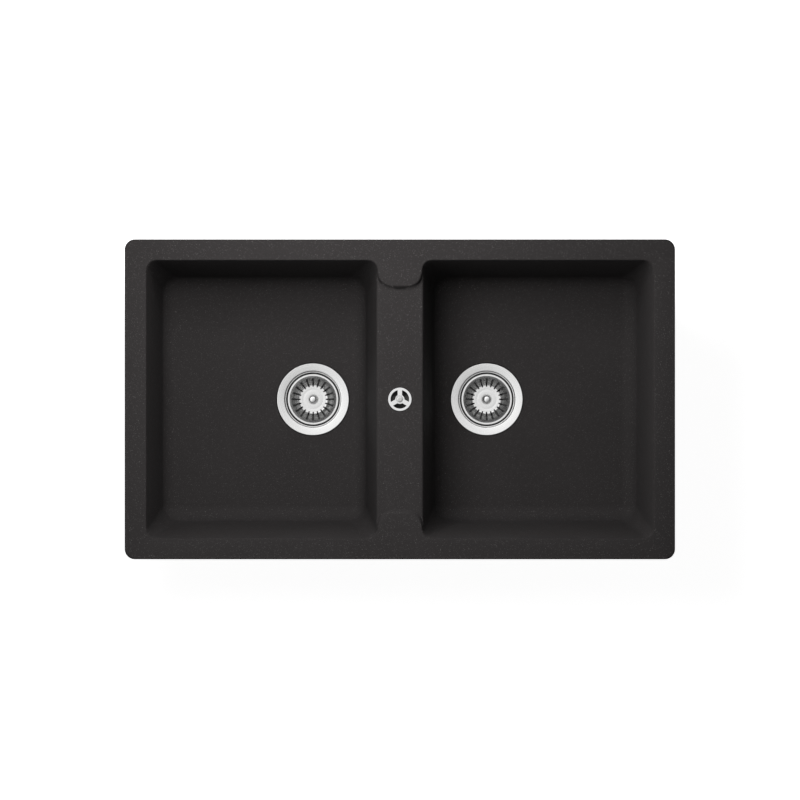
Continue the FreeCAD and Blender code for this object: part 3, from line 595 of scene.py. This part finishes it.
def makeWasteBody(sideName, side):
    p, x = pot, side * wasteX
    top, low, rimLow, knee = p["top"], p["low"], p["top"] - p["rimThick"], p["low"] + 7
    outside = [
        (0, top), (p["rim"] - 0.5, top), (p["rim"], top - 0.5), (p["rim"], rimLow + 0.8),
        (p["rim"] - 0.8, rimLow), (p["neck"] + 1.6, rimLow), (p["neck"] - 0.2, rimLow - 1.8),
        (p["foot"], knee), (p["foot"] - 0.8, knee - 2.2), (p["foot"] - 3, low + 2), (p["base"], low),
        (0, low)]
    piece = spun(sideName + "WasteBody", outside, x, 96)
    end = x - side * p["socketEnd"]
    cutWith(piece, lyingDrum(p["socket"], x, end, p["outlet"]), "UNION")
    ribs = []
    ribEnd = x + p["rim"] - 1.5
    for i in range(p["ribs"]):
        rib = block(x + p["neck"] - 3, ribEnd, -p["ribHalf"], p["ribHalf"], top - 3 - p["ribHeight"], top - 3)
        bisected(rib, (ribEnd, 0, top - 6), (0.85, 0, -0.52))
        ribs.append(turned(rib, (i + 0.5) * 360 / p["ribs"], (x, 0, 0)))
    cutWith(piece, joined(ribs), "UNION")
    inside = [
        (0, top + 1), (p["neck"] - p["wall"], top + 1), (p["foot"] - p["wall"], knee),
        (p["foot"] - p["wall"] - 1.2, low + p["wall"] + 1.6), (p["base"], low + p["wall"]),
        (0, low + p["wall"])]
    cutWith(piece, spun("hollow", inside, x, 96))
    cutWith(piece, lyingDrum(p["bore"], x - side * p["boreFrom"], end - side, p["outlet"], 64))
    cutWith(piece, lyingDrum(p["socketBore"], end + side * p["socketDepth"], end - side, p["outlet"], 64))
    reach = p["foot"] - 0.5
    bar = block(x - reach, x + reach, -p["barHalf"], p["barHalf"], p["barLow"], p["barHigh"])
    cutWith(piece, bar, "UNION")
    cutWith(piece, drum(p["nutHole"], p["barLow"] - 1, p["barLow"] + p["nutDepth"], x, 6))
    cutWith(piece, drum(p["screwHole"], p["barLow"] + p["nutDepth"] - 1, p["barHigh"] + 1, x, 32))
    smooth(piece, 32)
    stands(piece, "sink", "pipe", sideName + "_waste_body")


outletNut = {"from": 52.0, "to": 73.0, "lip": 70.0, "radius": 28.8, "grip": 30.9, "gripRoot": 27.0,
             "grips": 16, "gripWidth": 4.6, "gripEdge": 0.9}


def makeOutletNut(sideName, side):
    n, x, z = outletNut, side * wasteX, pot["outlet"]
    ring = [
        (n["from"], pot["socket"]), (n["from"], n["radius"] - 0.8), (n["from"] + 0.8, n["radius"]),
        (n["to"] - 1.5, n["radius"]), (n["to"], n["radius"] - 1.5), (n["to"], pot["socketBore"]),
        (n["lip"], pot["socketBore"]), (n["lip"], pot["socket"])]
    ring = [(x - side * along, r) for along, r in ring]
    piece = spunLying(sideName + "OutletNut", closed(ring), z)
    grips = []
    ends = sorted((x - side * (n["from"] + 1.5), x - side * (n["to"] - 3)))
    for i in range(n["grips"]):
        grip = block(*ends, -n["gripWidth"] / 2, n["gripWidth"] / 2, z + n["gripRoot"], z + n["grip"])
        applyModifier(grip, "BEVEL", width=n["gripEdge"] * mm, segments=2)
        grips.append(turned(grip, i * 360 / n["grips"], (x, 0, z), "X"))
    cutWith(piece, joined(grips), "UNION")
    smooth(piece, 32)
    stands(piece, "sink", "nut", sideName + "_outlet_nut")


plug = {"top": -211.9, "low": -219.9, "hole": 3.0, "side": 21.0, "lip": 26.0, "recess": 13.0,
        "recessTop": -215.2}


def makePlug(sideName, side):
    p = plug
    top, low = p["top"], p["low"]
    profile = [
        (p["hole"], top), (p["side"] - 0.6, top), (p["side"], top - 0.6), (p["side"], low + 2.9),
        (p["side"] + 0.6, low + 2.2), (p["lip"] - 0.7, low + 0.6), (p["lip"], low + 0.2),
        (p["lip"] - 0.2, low), (p["recess"], low), (p["recess"], p["recessTop"]),
        (p["hole"], p["recessTop"])]
    piece = smooth(spun(sideName + "Plug", closed(profile), side * wasteX, 96), 30)
    stands(piece, sideName + "_basket", "rubber", sideName + "_basket_seal")


bodySeal = {"inner": 45.5, "outer": 57.0, "top": -194.0, "low": -198.0}


def makeBodySeal(sideName, side):
    c = bodySeal
    profile = [
        (c["inner"], c["top"]), (c["outer"] - 0.4, c["top"]), (c["outer"], c["top"] - 0.5),
        (c["outer"], c["low"] + 0.5), (c["outer"] - 0.4, c["low"]), (c["inner"], c["low"])]
    piece = smooth(spun(sideName + "BodySeal", closed(profile), side * wasteX, 96), 40)
    stands(piece, "sink", "rubber", sideName + "_body_seal")


tee = {"end": 92.0, "pipe": 20.0, "bore": 18.0, "thick": 21.5, "middle": 28.0, "low": -306.0,
       "shoulder": -266.0, "top": -202.0, "root": 12.5, "rootTop": -223.5, "spigot": 10.0,
       "spigotBore": 8.4}


def makeTee():
    t, z = tee, pot["outlet"]
    half = [
        (t["middle"] - 1, t["thick"]), (t["middle"], t["thick"] - 0.6), (t["middle"] + 0.6, t["pipe"]),
        (t["end"] - 0.8, t["pipe"]), (t["end"], t["pipe"] - 0.8), (t["end"], 0)]
    piece = spunLying("connectingTee", [(-x, r) for x, r in half[::-1]] + half, z)
    down = [
        (0, z), (t["thick"], z), (t["thick"], t["shoulder"] + 1.5), (t["pipe"], t["shoulder"]),
        (t["pipe"], t["low"] + 1.2), (t["pipe"] - 0.8, t["low"]), (0, t["low"])]
    cutWith(piece, spun("down", down, 0, 96), "UNION")
    up = [
        (0, z), (t["root"], z), (t["root"], t["rootTop"]), (t["spigot"] + 0.6, t["rootTop"] + 4.0),
        (t["spigot"], t["rootTop"] + 5.3), (t["spigot"], t["top"] - 0.8), (t["spigot"] - 0.6, t["top"]),
        (0, t["top"])]
    cutWith(piece, spun("up", up, 0, 64), "UNION")
    cutWith(piece, lyingDrum(t["bore"], -t["end"] - 2, t["end"] + 2, z, 64))
    cutWith(piece, drum(t["bore"], t["low"] - 2, z, steps=64))
    cutWith(piece, drum(t["spigotBore"], z, t["top"] + 2, steps=48))
    smooth(piece, 32)
    stands(piece, "sink", "pipe", "connecting_tee")


hose = {"low": -218.0, "high": -44.5, "bore": 10.2, "radius": 12.4, "groove": 11.0, "cuff": 17.5,
        "ridges": 32}


def makeHose():
    h = hose
    low, high = h["low"] + h["cuff"], h["high"] - h["cuff"]
    pitch = (high - low) / h["ridges"]
    outside = [
        (h["bore"], h["low"]), (h["radius"] - 0.5, h["low"]), (h["radius"], h["low"] + 0.5),
        (h["radius"], low - 1)]
    for i in range(h["ridges"]):
        z = low + i * pitch
        outside += [
            (h["groove"], z), (h["groove"], z + pitch * 0.30), (h["radius"] - 0.35, z + pitch * 0.46),
            (h["radius"], z + pitch * 0.62), (h["radius"] - 0.35, z + pitch * 0.80)]
    outside += [
        (h["groove"], high), (h["groove"], high + 0.6), (h["radius"], high + 1.2),
        (h["radius"], h["high"] - 0.5), (h["radius"] - 0.5, h["high"]), (h["bore"], h["high"])]
    piece = smooth(spun("overflowHose", closed(outside), 0, 48), 50)
    stands(piece, "sink", "hose", "overflow_hose")


overflowCup = {"top": -14.5, "flange": 22.0, "flangeLow": -17.0, "outer": 18.5, "bore": 16.5, "floor": -40.5,
               "floorLow": -42.5, "spigot": 10.0, "spigotBore": 8.4, "spigotLow": -60.5, "barReach": 17.3,
               "barHalf": 6.0, "barLow": -34.5, "barHigh": -22.5, "screwHole": 2.5}


def makeOverflowBody():
    c = overflowCup
    profile = [
        (c["bore"], c["top"]), (c["flange"] - 0.4, c["top"]), (c["flange"], c["top"] - 0.4),
        (c["flange"], c["flangeLow"] + 0.4), (c["flange"] - 0.4, c["flangeLow"]),
        (c["outer"] + 0.9, c["flangeLow"]), (c["outer"], c["flangeLow"] - 1.0), (c["outer"], c["floor"]),
        (c["outer"] - 0.6, c["floor"] - 1.4), (c["bore"], c["floorLow"]), (c["spigot"] + 1.0, c["floorLow"]),
        (c["spigot"], c["floorLow"] - 1.0), (c["spigot"], c["spigotLow"] + 0.7),
        (c["spigot"] - 0.5, c["spigotLow"]), (c["spigotBore"], c["spigotLow"]), (c["spigotBore"], c["floor"]),
        (c["bore"] - 0.9, c["floor"]), (c["bore"], c["floor"] + 0.9)]
    piece = spun("overflowBody", closed(profile), 0, 96)
    bar = block(-c["barReach"], c["barReach"], -c["barHalf"], c["barHalf"], c["barLow"], c["barHigh"])
    cutWith(piece, bar, "UNION")
    cutWith(piece, drum(c["screwHole"], c["barLow"] - 1.5, c["barHigh"] + 1.5, steps=24))
    smooth(piece, 32)
    stands(piece, "sink", "overflowPipe", "overflow_body")


clamp = {"low": -65.0, "head": -60.0, "top": -4.0, "radius": 3.0, "root": 2.55, "pitch": 1.0, "across": 11.0,
         "slot": 1.6, "endX": 216.0, "endY": 230.5, "sideX": 410.5}


def makeClampScrews():
    c = clamp
    profile = [(0, c["head"] - 1), (c["root"], c["head"] - 1)]
    for i in range(int((c["top"] - 1 - c["head"]) / c["pitch"])):
        z = c["head"] + i * c["pitch"]
        profile += [(c["root"], z), (c["radius"], z + c["pitch"] * 0.45), (c["radius"], z + c["pitch"] * 0.6)]
    profile += [(c["root"], c["top"] - 0.8), (c["root"] - 0.5, c["top"]), (0, c["top"])]
    first = spun("clampScrews", profile, 0, 20)
    head = drum(c["across"] / 2 / math.cos(math.pi / 6), c["low"], c["head"], steps=6)
    applyModifier(head, "BEVEL", width=0.4 * mm, segments=2)
    cutWith(head, block(-8, 8, -c["slot"] / 2, c["slot"] / 2, c["low"] - 1, c["low"] + c["slot"]))
    cutWith(first, head, "UNION")
    stations = [(x, y) for y in (c["endY"], -c["endY"]) for x in (-c["endX"], c["endX"])]
    stations += [(-c["sideX"], 0), (c["sideX"], 0)]
    screws = [first] + [copied(first) for _ in stations[1:]]
    for screw, (x, y) in zip(screws, stations):
        screw.location = (x * mm, y * mm, 0)
        settle(screw)
    piece = smooth(named(joined(screws), "clampScrews"), 30)
    stands(piece, "sink", "zinc", "clamp_screws")


# A copy of a small CAD node with its edges broken, as pressed and moulded pieces have them
def makeSoftened(name, node, body, finish, edge):
    piece = mergedCopy(node, name)
    bpy.ops.mesh.dissolve_limited(angle_limit=math.radians(1))
    leaveEdit()
    bevelEdges(piece, edge, 2, 38)
    smooth(piece, 38)
    stands(piece, body, finish, node)


for sideName, side in sides.items():
    makeWasteBody(sideName, side)
    makeOutletNut(sideName, side)
    makePlug(sideName, side)
    makeBodySeal(sideName, side)
    makeSoftened(sideName + "WasteScrew", sideName + "_waste_screw", "sink", "zinc", 0.35)
    makeSoftened(
        sideName + "BasketCatch", sideName + "_basket_catch", sideName + "_basket", "catch",
        0.25)
makeTee()
makeHose()
makeOverflowBody()
print("fittings made")
makeClampScrews()
for node in [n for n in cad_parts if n.startswith("clamp_claw")]:
    spot = node[len("clamp_claw_"):]
    name = "clampClaw" + spot.title().replace("_", "")
    makeSoftened(name, node, spot + "_claw", "zinc", 0.4)
print("clamps made")

# CAD nodes that keep their shape
nodeFinish = {"rim_seal": "foam", "overflow_seal": "rubber"}
for sideName in sides:
    nodeFinish.update({sideName + "_screw_insert": "brass", sideName + "_outlet_seal": "rubber"})
for name, finish in nodeFinish.items():
    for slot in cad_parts[name].material_slots:
        slot.material = finishes[finish]
print("nodes dressed")

# Studio, in metres
studio = {"floorZ": -0.3065, "size": 14.0, "floorGlow": 0.95, "cameraHeight": 11.5, "lens": 331, "sensor": 36,
          "aim": (0.0002, -0.0011), "lampAim": (0, 0, -0.1)}
lamps = {"rearSoftbox": {"place": (-0.10, 0.45, 0.7), "size": 0.4, "power": 6.2},
         "overheadSoftbox": {"place": (-0.30, 0.30, 1.1), "size": 0.6, "power": 12.0}}


def makeFloor():
    clearSelection()
    bpy.ops.mesh.primitive_plane_add(size=studio["size"], location=(0, 0, studio["floorZ"]))
    floor = settle(named(bpy.context.object, "studioFloor"))
    s = newShader("paleFloor")
    s.plug((0.8, 0.8, 0.8, 1), s.base.inputs["Base Color"])
    s.plug(0.9, s.base.inputs["Roughness"])
    camera = s.node("LightPath")
    seen = s.node("Math", {"operation": "MAXIMUM"}, [camera, camera.beside("Is Glossy Ray")])
    glow = s.node("Emission", {}, {"Color": (1, 1, 1, 1), "Strength": studio["floorGlow"]})
    plain = Wire(s, s.base.outputs[0])
    mixed = s.node("MixShader", {}, [seen, plain, s.node("AddShader", {}, [plain, glow])])
    s.plug(mixed, s.nodes["Material Output"].inputs["Surface"])
    floor.data.materials.append(s.owner)


# White as seen; dimmer in reflections, and brighter there towards the rear left; almost dark as a light
world = {"diffuse": 0.03, "reflectLow": 0.25, "reflectHigh": 1.60, "spread": 0.60, "towards": (-0.7, 0.7, 0)}


def makeWorld():
    surroundings = bpy.data.worlds.new("studioWorld")
    bpy.context.scene.world = surroundings
    s = Shader(surroundings)
    lean = s.node(
        "VectorMath", {"operation": "DOT_PRODUCT"}, [s.node("TexCoord"), world["towards"]], output="Value")
    sky = s.node("MapRange", {"interpolation_type": "SMOOTHSTEP"}, {
        "Value": lean, "From Min": -world["spread"], "From Max": world["spread"],
        "To Min": world["reflectLow"], "To Max": world["reflectHigh"]})
    camera = s.node("LightPath")
    reflected = s.node("MapRange", {}, {
        "Value": camera.beside("Is Glossy Ray"), "To Min": world["diffuse"], "To Max": sky})
    level = s.node("MapRange", {}, {"Value": camera, "To Min": reflected, "To Max": 1.0})
    background = s.nodes["Background"]
    s.plug((1, 1, 1, 1), background.inputs["Color"])
    s.plug(level, background.inputs["Strength"])


def makeLamp(name, place, size, power):
    clearSelection()
    bpy.ops.object.light_add(type="AREA", location=place)
    lamp = bpy.context.object
    lamp.name = name
    lamp.data.size = size
    lamp.data.energy = power
    lamp.rotation_euler = (Vector(studio["lampAim"]) - Vector(place)).to_track_quat("-Z", "Y").to_euler()
    lamp.visible_glossy = False


def makeCamera():
    bpy.ops.object.camera_add(location=(*studio["aim"], studio["cameraHeight"]), rotation=(0, 0, 0))
    camera = bpy.context.object
    camera.name = "overheadCamera"
    camera.data.lens = studio["lens"]
    camera.data.sensor_width = studio["sensor"]
    camera.data.clip_end = 100
    bpy.context.scene.camera = camera


makeFloor()
makeWorld()
for name, lamp in lamps.items():
    makeLamp(name, **lamp)
makeCamera()
bpy.context.scene.view_settings.view_transform = "Standard"
print("studio made")
